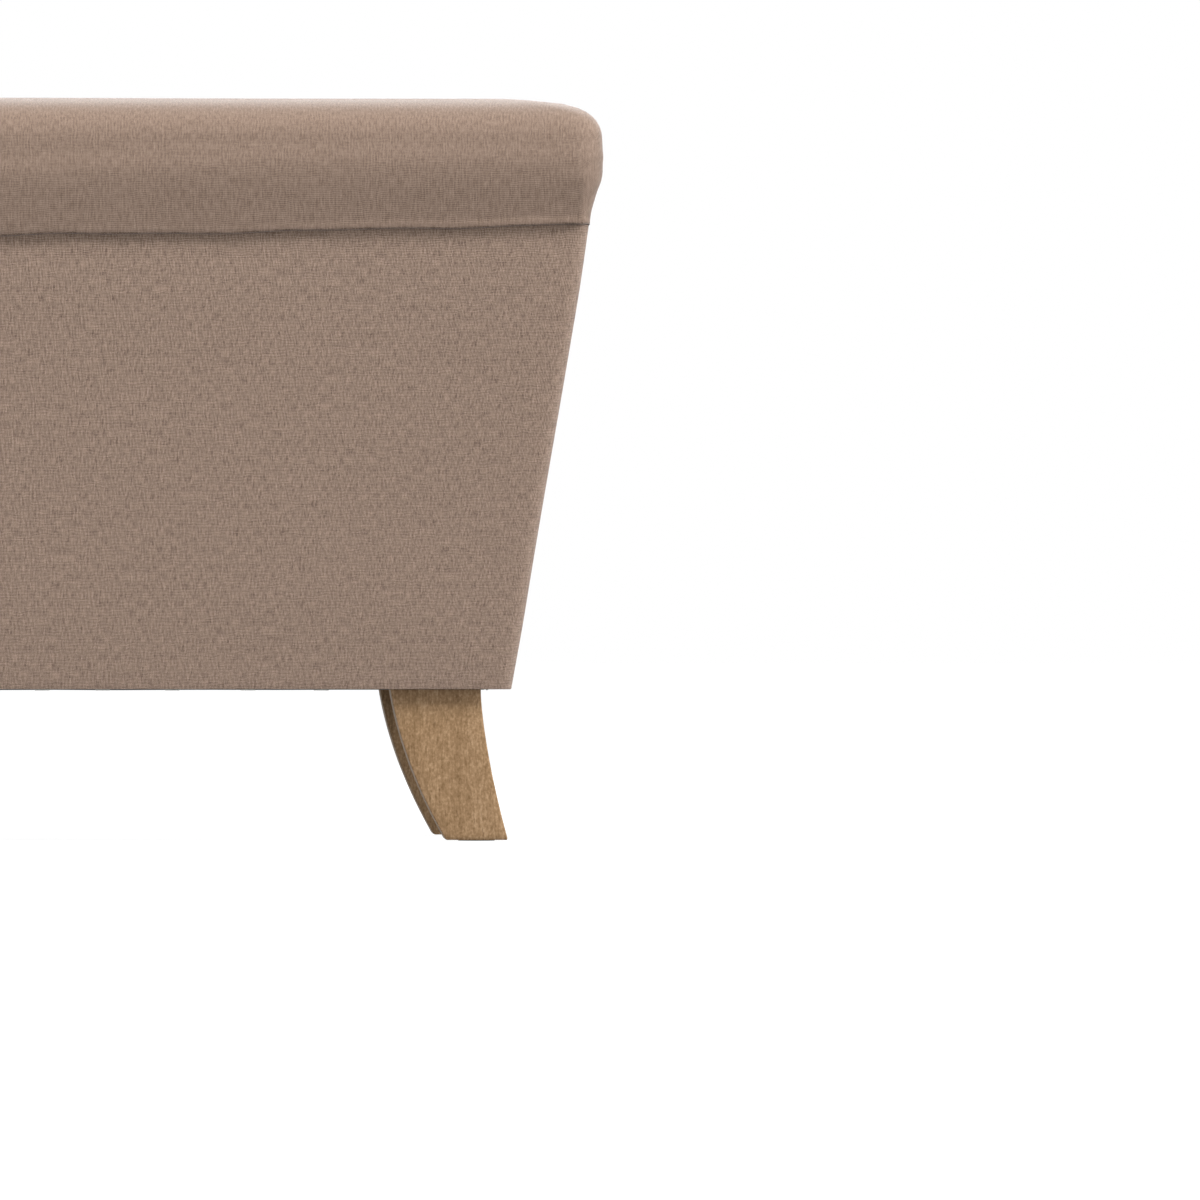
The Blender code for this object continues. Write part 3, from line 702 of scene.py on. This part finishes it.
PLEAT_DEPTH = 0.0008
PINCH_HEIGHT = 0.0368  # above the lid's underside
TUCK_HEIGHT = 0.012
TUCK_INSET = 0.010  # from the lid's end
TUCK_WIDTH = 0.0022
TUCK_SHAPE = (1.0, 0.3, 0.16)  # narrow along the front, long in height
TUCK_RIM = 0.0005  # the cloth swells by this beside the tuck
TUCK_RIM_AWAY = 0.005


def fold_corners(piece):
    """Pleats at the lid's corners: a soft pinch across each, and a tuck that ends over the lower edge."""
    points = read_vertices(piece.data)
    normals = read_vertices(piece.data, "normal")
    inward = np.zeros(len(points))
    for sx in (-1, 1):
        for sy in (-1, 1):
            pinch = (sx * (BOX_HIGH.x + 0.004), sy * (BOX_HIGH.y + 0.004), LID_LOW.z + PINCH_HEIGHT)
            across = (sx, -sy, 0.10)
            inward += crease(points, pinch, across, width=0.0032, length=0.016, depth=PLEAT_DEPTH)
            tuck = (sx * (BOX_HIGH.x - TUCK_INSET), sy * (BOX_HIGH.y + 0.004), LID_LOW.z + TUCK_HEIGHT)
            near = np.linalg.norm((points - tuck) * TUCK_SHAPE, axis=1)
            inward += PLEAT_DEPTH * np.exp(-((near / TUCK_WIDTH) ** 2))
            inward -= TUCK_RIM * np.exp(-(((near - TUCK_RIM_AWAY) / TUCK_WIDTH) ** 2))
    write_vertices(piece.data, points - normals * inward[:, None])


def cloth_uv(piece):
    """UVs of one sheet folded over the lid, front to back, and turned down over the ends."""
    mesh = piece.data
    uv = mesh.uv_layers["cloth"].data
    top = LID_HIGH.z
    for face in mesh.polygons:
        normal = face.normal
        over_end = abs(normal.x) > max(abs(normal.y), abs(normal.z))
        behind = normal.y > max(abs(normal.x), abs(normal.z)) * 0.99
        for loop in face.loop_indices:
            x, y, z = mesh.vertices[mesh.loops[loop].vertex_index].co
            if over_end:
                uv[loop].uv = (math.copysign(abs(x) + top - z, x), y + top)
            elif behind:
                uv[loop].uv = (x, y + 2 * top - z)
            else:
                uv[loop].uv = (x, y + z)


def make_lid_cushion():
    """The padded lid: rolled lower edge, bulging sides, pleated corners and a crowned top."""
    rings = lid_rings()
    piece = skin("lid_cushion", rings, cap_first=True, cap_last=True)
    held = []
    for ring in rings:
        for point in ring:
            rise = point.z - LID_LOW.z
            held.append(1.0 if rise < PUFF_FROM else 0.97 * (1 - smoothstep(PUFF_FROM, PUFF_FREE, rise)))
    puff(piece, held, len(rings), frames=20, pressure=4.0, most=0.0022)
    fold_corners(piece)
    cloth_uv(piece)
    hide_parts("lid_cover", "lid_foam")
    # the lid's cloth carries painted shade: its tones are darker than the box's same cloth
    return show(piece, LID_CLOTH_PAINTED_SHADE, "lid")


# ---------------------------------------------------------------- legs
LEG_OUTER_CURVE = 0.58  # times the drop to the power 1.5
LEG_INNER_SLOPE = 0.17
LEG_INNER_CURVE = 2.05  # times the drop squared
LEG_EASING = 0.0009
LEG_STEPS = 26


def make_leg(name):
    """A sabre leg with eased edges: hollow outer edge, swelling inner edge, foot kicked outwards."""
    low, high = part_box(name)
    side = 1 if high.x > 0 else -1
    centre_y, depth = (low.y + high.y) / 2, (high.y - low.y) / 2
    inner_top, outer_top = LEG_TOP
    plan = ring_plan(0.02, 0.02, LEG_EASING, 0.006, 3)
    rows = []

    def add_row(drop, z, drawn_in=0.0):
        outer = outer_top + LEG_OUTER_CURVE * drop**1.5 - drawn_in
        inner = inner_top + LEG_INNER_SLOPE * drop + LEG_INNER_CURVE * drop**2 + drawn_in
        middle, half = (outer + inner) / 2, (outer - inner) / 2
        points = ring_points(plan, half, depth - drawn_in, LEG_EASING)
        rows.append([(side * (middle + x), centre_y + y, z) for x, y in points])

    tall = high.z - low.z
    add_row(0.0, BOX_LOW.z + 0.0004)
    for step in range(1, LEG_STEPS):
        drop = tall * step / LEG_STEPS
        add_row(drop, high.z - drop)
    add_row(tall - 0.0012, high.z - tall + 0.0012)
    add_row(tall, high.z - tall, 0.7 * LEG_EASING)
    piece = skin(f"{name}_oak", rows, cap_first=True, cap_last=True)
    piece.data.set_sharp_from_angle(angle=math.radians(50))
    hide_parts(name)
    return show(piece, OAK, "box")


# ---------------------------------------------------------------- lining, and cloths under the lid and box
WALL = 0.0203  # from the cover's outer face to the lining
HEM = 0.020
LINING_CORNER = 0.022
LINING_ROWS = 22
HEM_ROWS = ((0.0016, 0.0008), (0.0020, 0.003), (0.0022, HEM - 0.0045), (0.0015, HEM - 0.0033))  # inset, drop
STITCH_ROWS = ((0.0022, HEM - 0.0020), (0.0020, HEM), (0.0010, HEM + 0.0006))
SLACK = (0.0004, 0.0022)  # of the lining's walls, at their edges and more in their middle
LINING_LIFT = 0.0014  # the most that the floor's cloth lifts off its board
LID_LINING_INSET = (0.0240, 0.0310)  # in from the box's top edge, at the ends and at the front
TURN_IN = 0.012
LID_LINING_EDGE = ((TURN_IN, 0.0004), (0.0006, 0.0004), (0.0, 0.0001), (0.0006, -0.0004), (0.0110, -0.0004))
CLOTH_STEP = 0.014  # between a flat cloth's rings
NOTCH_GAP = 0.004  # between the dust cover and a leg
DUST_SAG = 0.0004
DUST_UNEVEN = 0.0003


def make_lining():
    """The storage lining: a sewn tray of felted cloth with a turned-over, stitched hem and a little slack."""
    top, floor_z = LINING_HIGH.z, LINING_LOW.z + 0.0010
    plan = ring_plan(LINING_HIGH.x, LINING_HIGH.y, LINING_CORNER, 0.016, 6)
    rows = []

    def row(inset, z, slack=0.0, lift=0.0):
        half_x, half_y = box_half(z, WALL + inset)
        points = []
        for x, y in ring_points(plan, half_x, half_y, max(LINING_CORNER - inset, 0.006)):
            loose = slack * (0.5 + 0.5 * wavy((x * 1.6, y * 1.6, z * 0.5), 7.0, 11.0))
            x, y = x * (1 - loose / half_x), y * (1 - loose / half_y)
            points.append((x, y, z + lift * (0.5 + 0.5 * wavy((x, y, 0.0), 9.0, 4.0))))
        rows.append(points)

    row(0.0001, top - HEM)
    row(0.0001, top - 0.0008)
    row(0.0008, top)
    for inset, drop in HEM_ROWS + STITCH_ROWS:
        row(inset, top - drop)
    low, high = floor_z + 0.010, top - HEM - 0.004
    for step in range(LINING_ROWS + 1):
        t = step / LINING_ROWS
        row(0.0010, high + (low - high) * t, SLACK[0] + SLACK[1] * math.sin(math.pi * t))
    for inset, rise in ((0.0020, 0.0055), (0.0045, 0.0024), (0.0085, 0.0008)):
        row(inset, floor_z + rise)
    inset = 0.016
    while inset < LINING_HIGH.y - 0.060:
        row(inset, floor_z, lift=LINING_LIFT)
        inset += CLOTH_STEP
    piece = skin("lining_tray", rows, cap_last=True)
    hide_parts("storage_lining")
    floor_x, floor_y = box_half(floor_z, WALL)
    return show(piece, LINING_CLOTH, "box")


def make_lid_lining():
    """The cloth under the lid: taut, with a folded edge, quilted slightly where it meets the board."""
    half_x, half_y = BOX_HIGH.x - LID_LINING_INSET[0], BOX_HIGH.y - LID_LINING_INSET[1]
    under = LID_LOW.z + 0.0001
    plan = ring_plan(half_x, half_y, 0.006, 0.014, 3)
    rows = []

    def row(inset, z, lift=0.0):
        points = []
        for x, y in ring_points(plan, half_x - inset, half_y - inset, 0.005):
            points.append((x, y, z + lift * (0.5 + 0.5 * wavy((x, y, 0.0), 16.0, 21.0))))
        rows.append(points)

    for inset, rise in LID_LINING_EDGE:
        row(inset, under + rise)
    row(TURN_IN, under + 0.0001)
    inset = 0.020
    while inset < half_y - 0.012:
        row(inset, under - 0.0002, lift=0.0006)
        inset += CLOTH_STEP
    piece = skin("lid_lining_cloth", rows, cap_last=True)
    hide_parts("lid_lining")
    return show(piece, NONWOVEN, "lid")


def make_dust_cover():
    """The thin cloth under the box, cut round the legs, drooping slightly between its staples."""
    low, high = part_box("dust_cover")
    legs = [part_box(f"{end}_{side}_leg") for end, _ in ENDS for side, _ in SIDES]
    columns, lines = 76, 30
    shape = bmesh.new()
    notch_x = LEG_TOP[0] - NOTCH_GAP
    notch_y = min(abs(leg_low.y) for leg_low, _ in legs if leg_low.y > 0) - NOTCH_GAP
    xs = sorted({*np.linspace(low.x, high.x, columns).round(5), -notch_x, notch_x})
    ys = sorted({*np.linspace(low.y, high.y, lines).round(5), -notch_y, notch_y})
    grid = {}
    for x in xs:
        for y in ys:
            if abs(x) > notch_x and abs(y) > notch_y:
                continue
            edge = min(high.x - abs(x), high.y - abs(y))
            sag = DUST_SAG + DUST_UNEVEN * wavy((x, y, 0.0), 14.0, 8.0)
            sag *= smoothstep(0.0, 0.08, edge)
            grid[x, y] = shape.verts.new((x, y, high.z + 0.0002 - sag))
    for x0, x1 in zip(xs, xs[1:]):
        for y0, y1 in zip(ys, ys[1:]):
            corners = [grid.get(place) for place in ((x0, y0), (x0, y1), (x1, y1), (x1, y0))]
            if all(corners) and not (abs(x0 + x1) / 2 > notch_x and abs(y0 + y1) / 2 > notch_y):
                shape.faces.new(corners)
    mesh = bpy.data.meshes.new("dust_cloth")
    shape.to_mesh(mesh)
    shape.free()
    mesh.shade_smooth()
    piece = linked("dust_cloth", mesh)
    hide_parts("dust_cover")
    return show(piece, NONWOVEN, "box")


# ---------------------------------------------------------------- staples and screws
def placed(shape, place, facing, along):
    """Turns a bmesh made with its face up +Z and its length along X, and moves it to its place."""
    facing = Vector(facing).normalized()
    along = (Vector(along) - Vector(along).dot(facing) * facing).normalized()
    turn = Matrix((along, facing.cross(along), facing)).transposed().to_4x4()
    bmesh.ops.transform(shape, matrix=Matrix.Translation(place) @ turn, verts=shape.verts)
    return shape


def staple():
    """The crown of an upholstery staple, its legs gone into the wood."""
    shape = bmesh.new()
    half, wide, thick = 0.0050, 0.0005, 0.0005  # half its length, half its wire's width, and its height
    outline = ((-half, -0.0008), (-half, thick * 0.6), (-half + 0.0006, thick), (half - 0.0006, thick))
    outline += ((half, thick * 0.6), (half, -0.0008))
    rows = [[shape.verts.new((x, side * wide, z)) for x, z in outline] for side in (-1, 1)]
    for i in range(len(outline)):
        j = (i + 1) % len(outline)
        shape.faces.new((rows[0][i], rows[0][j], rows[1][j], rows[1][i]))
    shape.faces.new(rows[0][::-1])
    shape.faces.new(rows[1])
    return shape


def screw(radius, proud):
    """A screw's head with a cross recess."""
    shape = bmesh.new()
    wide, long, count = 0.13 * radius, 0.62 * radius, 24

    def cross(angle):
        c, s = max(abs(math.cos(angle)), 1e-6), max(abs(math.sin(angle)), 1e-6)
        return max(min(long / c, wide / s), min(wide / c, long / s))

    rings = []
    for reach, z in ((1.0, -0.0004), (1.0, proud * 0.4), (0.9, proud), (None, proud), (0.8, -radius * 0.35)):
        ring = []
        for i in range(count):
            angle = 2 * math.pi * i / count
            far = cross(angle) if reach is None else reach * (cross(angle) if z < -0.0005 else radius)
            ring.append(shape.verts.new((far * math.cos(angle), far * math.sin(angle), z)))
        rings.append(ring)
    for low, high in zip(rings, rings[1:]):
        for i in range(count):
            j = (i + 1) % count
            shape.faces.new((low[i], low[j], high[j], high[i]))
    shape.faces.new(rings[-1])
    return shape


def row_of_staples(start, end, facing, pitch, skip=None):
    """Staples along a line, each a little out of true."""
    start, end = Vector(start), Vector(end)
    along = (end - start).normalized()
    count = max(2, round((end - start).length / pitch))
    across = Vector(facing).cross(along)
    for step in range(count):
        spot = start.lerp(end, (step + 0.5 + random.uniform(-0.12, 0.12)) / count)
        if skip and skip(spot):
            continue
        turned = along + across * random.uniform(-0.25, 0.25)
        yield placed(staple(), spot + across * random.uniform(-0.0012, 0.0012), facing, turned)


HINGE_CLEAR = 0.008  # no staple lies this near to a hinge, or this near to a leg
LEG_CLEAR = 0.012
HEM_STAPLES = 0.048  # their pitch, and how far from the corners they start
HEM_STAPLES_START = 0.03
HINGE_SCREWS = (-0.021, 0.0, 0.021)
HINGE_SCREW = (0.0026, 0.00012)  # radius, and how far its head stands out
BRACKET_SCREW = (0.0030, 0.0011)


def hinge_near(spot):
    leaf_low, leaf_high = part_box("right_hinge_lid_leaf")
    beside = leaf_low.x - HINGE_CLEAR < abs(spot.x) < leaf_high.x + HINGE_CLEAR
    return beside and spot.y > leaf_low.y - HINGE_CLEAR


def staples_round(x, y, z, pitch, skip):
    """Staples along the four sides of a rectangle, facing down."""
    corners = ((-x, -y, z), (x, -y, z), (x, y, z), (-x, y, z))
    shapes = []
    for start, end in zip(corners, corners[1:] + corners[:1]):
        shapes += row_of_staples(start, end, (0, 0, -1), pitch, skip)
    return shapes


def make_staples():
    """Staples round the lid's lining and the dust cover, and through the storage lining's hem."""
    x, y, z = BOX_HIGH.x - 0.0275, BOX_HIGH.y - 0.0345, LID_LOW.z - 0.0002
    shapes = staples_round(x, y, z, 0.042, hinge_near)
    show(joined("lid_staples", shapes), ZINC, "lid")

    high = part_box("dust_cover")[1]
    leg_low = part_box("rear_right_leg")[0]

    def under_leg(spot):
        return abs(spot.x) > LEG_TOP[0] - LEG_CLEAR and abs(spot.y) > leg_low.y - LEG_CLEAR

    shapes = staples_round(high.x - 0.006, high.y - 0.006, high.z + 0.0001, 0.045, under_leg)
    z = LINING_HIGH.z - HEM * 0.45
    x, y = box_half(z, WALL + 0.0024)
    for way in (-1, 1):
        start, end = (-x + HEM_STAPLES_START, way * y, z), (x - HEM_STAPLES_START, way * y, z)
        shapes += row_of_staples(start, end, (0, -way, 0), HEM_STAPLES)
        start, end = (way * x, -y + HEM_STAPLES_START, z), (way * x, y - HEM_STAPLES_START, z)
        shapes += row_of_staples(start, end, (-way, 0, 0), HEM_STAPLES)
    show(joined("box_staples", shapes), ZINC, "box")


def make_screws():
    """Flush screws in the hinge leaves and round-headed ones in the struts' brackets."""
    on_box, on_lid = [], []
    for name, side in SIDES:
        low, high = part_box(f"{name}_hinge_fixed_leaf")
        middle = (low.x + high.x) / 2
        for offset in HINGE_SCREWS:
            spot = (middle + offset, low.y + 0.0075, BOX_HIGH.z + 0.0013)
            on_box.append(placed(screw(*HINGE_SCREW), spot, (0, 0, 1), (1, offset * 30, 0)))
        low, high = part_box(f"{name}_hinge_lid_leaf")
        for offset in HINGE_SCREWS:
            spot = (middle + offset, low.y + 0.0110, LID_LOW.z - 0.0013)
            on_lid.append(placed(screw(*HINGE_SCREW), spot, (0, 0, -1), (1, 0.4 - offset * 20, 0)))
        low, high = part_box(f"{name}_lid_bracket")
        outer = high.x if side > 0 else low.x
        for offset in (-0.0135, 0.0135):
            spot = (outer - side * 0.0065, (low.y + high.y) / 2 + offset, high.z - 0.0020)
            on_lid.append(placed(screw(*BRACKET_SCREW), spot, (0, 0, -1), (1, offset * 60, 0)))
        low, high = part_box(f"{name}_wall_bracket")
        outer = high.x if side > 0 else low.x
        middle = (low.z + high.z) / 2
        for rise in (-0.0125, 0.0125):
            face = outer - side * (0.0020 + (high.z - middle - rise) * TAPER)
            spot = (face, low.y + 0.0135, middle + rise)
            on_box.append(placed(screw(*BRACKET_SCREW), spot, (-side, 0, 0), (0, 1, rise * 40)))
    show(joined("box_screws", on_box), ZINC, "box")
    show(joined("lid_screws", on_lid), ZINC, "lid")


# ---------------------------------------------------------------- stage, camera and light
FLOOR_SIZE = 160.0
FLOOR_GAP = 0.0003  # keeps the floor clear of the glides that stand on it
FLOOR_GREY = (0.16, 0.16, 0.16)
FLOOR_GLOW = 0.93
SURROUND = (0.42, 0.56)  # the surround's strength as light, from below and from above
HORIZON = 0.15  # how far on each side of the horizon one turns into the other
CAMERA_PLACE = (0.14, -10.0, 0.13)
CAMERA_TARGET = (0.5255, BOX_LOW.y, 0.1573)
FRAME_WIDTH = 0.78  # metres across the picture, at the target
SENSOR_WIDTH = 36.0
LIGHTS = (  # name, place, target, size, power
    ("overhead", (-0.4, -2.6, 4.4), (0, 0, 0.25), (2.4, 1.8), 310.0),
    ("front", (0.4, -7.0, 0.5), (0, 0, 0.20), (4.0, 0.8), 130.0),
    ("right", (4.0, -0.6, 1.2), (0.2, 0, 0.25), (2.0, 1.6), 190.0),
    ("rear", (1.6, 4.6, 2.4), (0, 0, 0.25), (3.0, 2.0), 230.0),
    ("left", (-4.0, -1.0, 1.6), (-0.2, 0, 0.25), (2.0, 1.6), 30.0),
)


def make_stage():
    """A pale floor that reads as white, and a white surround that is dimmer as light than as backdrop."""
    bpy.ops.mesh.primitive_plane_add(size=FLOOR_SIZE, location=(0, 0, -FLOOR_GAP))
    floor = bpy.context.object
    floor.name = "floor"
    n = Nodes("pale_floor")
    n.set(
        Base_Color=(*FLOOR_GREY, 1.0),
        Roughness=0.9,
        Specular_IOR_Level=0.0,
        Emission_Color=(1.0, 1.0, 1.0, 1.0),
        Emission_Strength=FLOOR_GLOW,
    )
    floor.data.materials.append(n.material)
    floor.visible_diffuse = False

    world = bpy.data.worlds.new("studio")
    bpy.context.scene.world = world
    world.use_nodes = True
    tree = world.node_tree
    sky = tree.nodes["Background"]
    direction = tree.nodes.new("ShaderNodeTexCoord")
    split = tree.nodes.new("ShaderNodeSeparateXYZ")
    tree.links.new(direction.outputs["Generated"], split.inputs[0])
    rise = tree.nodes.new("ShaderNodeMapRange")
    rise.inputs["From Min"].default_value, rise.inputs["From Max"].default_value = -HORIZON, HORIZON
    rise.inputs["To Min"].default_value, rise.inputs["To Max"].default_value = SURROUND
    tree.links.new(split.outputs["Z"], rise.inputs["Value"])
    ray = tree.nodes.new("ShaderNodeLightPath")
    seen_or_lighting = tree.nodes.new("ShaderNodeMix")
    seen_or_lighting.inputs[3].default_value = 1.0  # the strength that the camera sees
    tree.links.new(ray.outputs["Is Camera Ray"], seen_or_lighting.inputs[0])
    tree.links.new(rise.outputs["Result"], seen_or_lighting.inputs[2])
    tree.links.new(seen_or_lighting.outputs[0], sky.inputs["Strength"])
    sky.inputs["Color"].default_value = (1.0, 1.0, 1.0, 1.0)


def area_light(name, place, target, size, power):
    light = bpy.data.lights.new(name, "AREA")
    light.shape = "RECTANGLE"
    light.size, light.size_y = size
    light.energy = power
    lamp = linked(name, light)
    lamp.location = place
    lamp.rotation_mode = "QUATERNION"
    lamp.rotation_quaternion = (Vector(target) - Vector(place)).to_track_quat("-Z", "Y")
    lamp.visible_camera = False


def make_camera():
    """A long lens far in front, low down, aimed at the lower right corner."""
    data = bpy.data.cameras.new("camera")
    data.sensor_width = SENSOR_WIDTH
    camera = linked("camera", data)
    camera.location = CAMERA_PLACE
    gaze = Vector(CAMERA_TARGET) - camera.location
    data.lens = SENSOR_WIDTH * gaze.length / FRAME_WIDTH
    data.clip_start, data.clip_end = 0.1, 200.0
    camera.rotation_mode = "QUATERNION"
    camera.rotation_quaternion = gaze.to_track_quat("-Z", "Y")
    bpy.context.scene.camera = camera


def light_scene():
    for light in LIGHTS:
        area_light(*light)
    scene = bpy.context.scene
    scene.view_settings.view_transform = "Standard"
    scene.view_settings.look = "None"
    scene.view_settings.exposure = 0.0
    scene.view_settings.gamma = 1.0


WOOD_EASING = 0.0006
METAL_EASING = 0.00025


def dress_cad_nodes():
    """Materials by slot for the nodes that show as they are, and eased edges on the hard ones."""
    looks = {
        "plywood": PLYWOOD,
        "lining": NONWOVEN,
        "zinc_steel": ZINC,
        "black_steel": BLACK_LACQUER,
        "plastic": BLACK_PLASTIC,
        "foam": PLYWOOD,
        "upholstery": BOX_CLOTH,
        "leg_oak": OAK,
    }
    for entry in frame["record"]["subparts"]:
        node = frame["nodes"][entry["node"]]
        look = looks[entry["material_slot"]]
        if "strut_rod" in node.name:
            look = CHROME
        if "bumper" in node.name:
            look = CLEAR_RUBBER
        if node.name.startswith("storage"):
            look = LINING_CLOTH
        dress(node, look)
        if entry["material_slot"] in ("zinc_steel", "black_steel", "plywood", "plastic"):
            edges = node.modifiers.new("Eased edges", "BEVEL")
            edges.width = WOOD_EASING if look is PLYWOOD else METAL_EASING
            edges.segments = 2
            edges.limit_method = "ANGLE"
            edges.angle_limit = HARD_ANGLE


make_camera()
make_stage()
light_scene()
dress_cad_nodes()
make_box_cover()
make_lid_cushion()
for end_name, _ in ENDS:
    for side_name, _ in SIDES:
        make_leg(f"{end_name}_{side_name}_leg")
make_lining()
make_lid_lining()
make_dust_cover()
make_staples()
make_screws()
